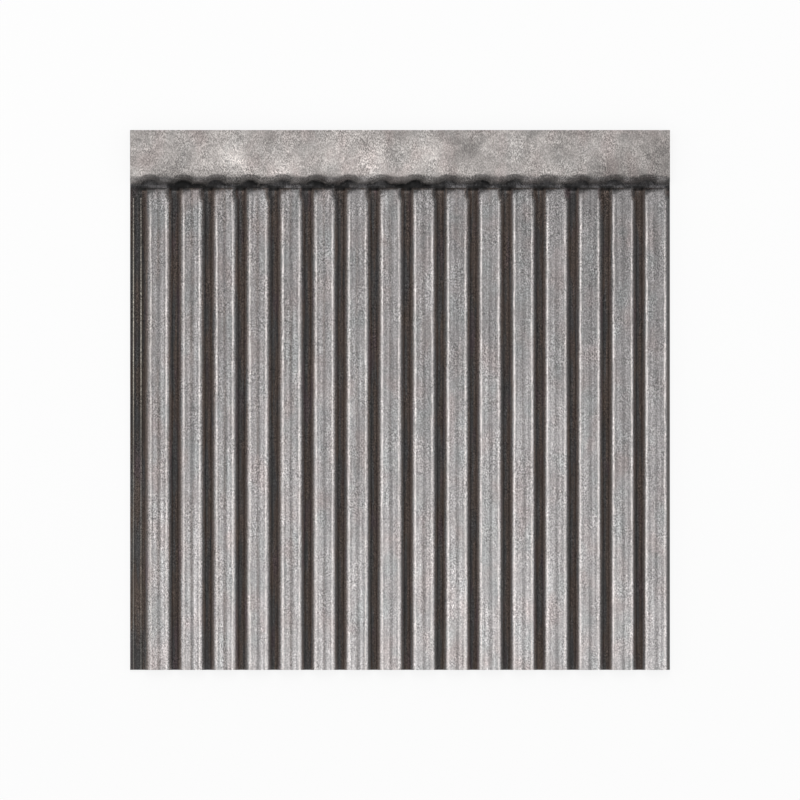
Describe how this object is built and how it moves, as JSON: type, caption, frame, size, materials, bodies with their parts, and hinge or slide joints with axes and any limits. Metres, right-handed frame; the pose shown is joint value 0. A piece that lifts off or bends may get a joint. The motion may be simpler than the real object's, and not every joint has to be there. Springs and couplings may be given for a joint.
{
  "type": "aluminium composite wall panel",
  "caption": "Square ribbed aluminium composite wall panel with a flat head, a scalloped cross gutter above the rib ends and a low ledge along one side.",
  "frame": {"origin": "middle of the flat back, on the surface that the panel lies on", "axes": "+Z out of the ribbed face, +Y along the ribs towards the flat head, +X across the ribs away from the low side ledge"},
  "size_m": [0.61, 0.61, 0.016],
  "materials": {
    "front_skin": "mottled galvanised look, satin, darkened in the grooves",
    "core": "black polyethylene, sawn edge",
    "back_skin": "thin wash coat, satin"
  },
  "bodies": {
    "root": {"front_skin": "front_skin", "core": "core", "back_skin": "back_skin"}
  },
  "joints": []
}
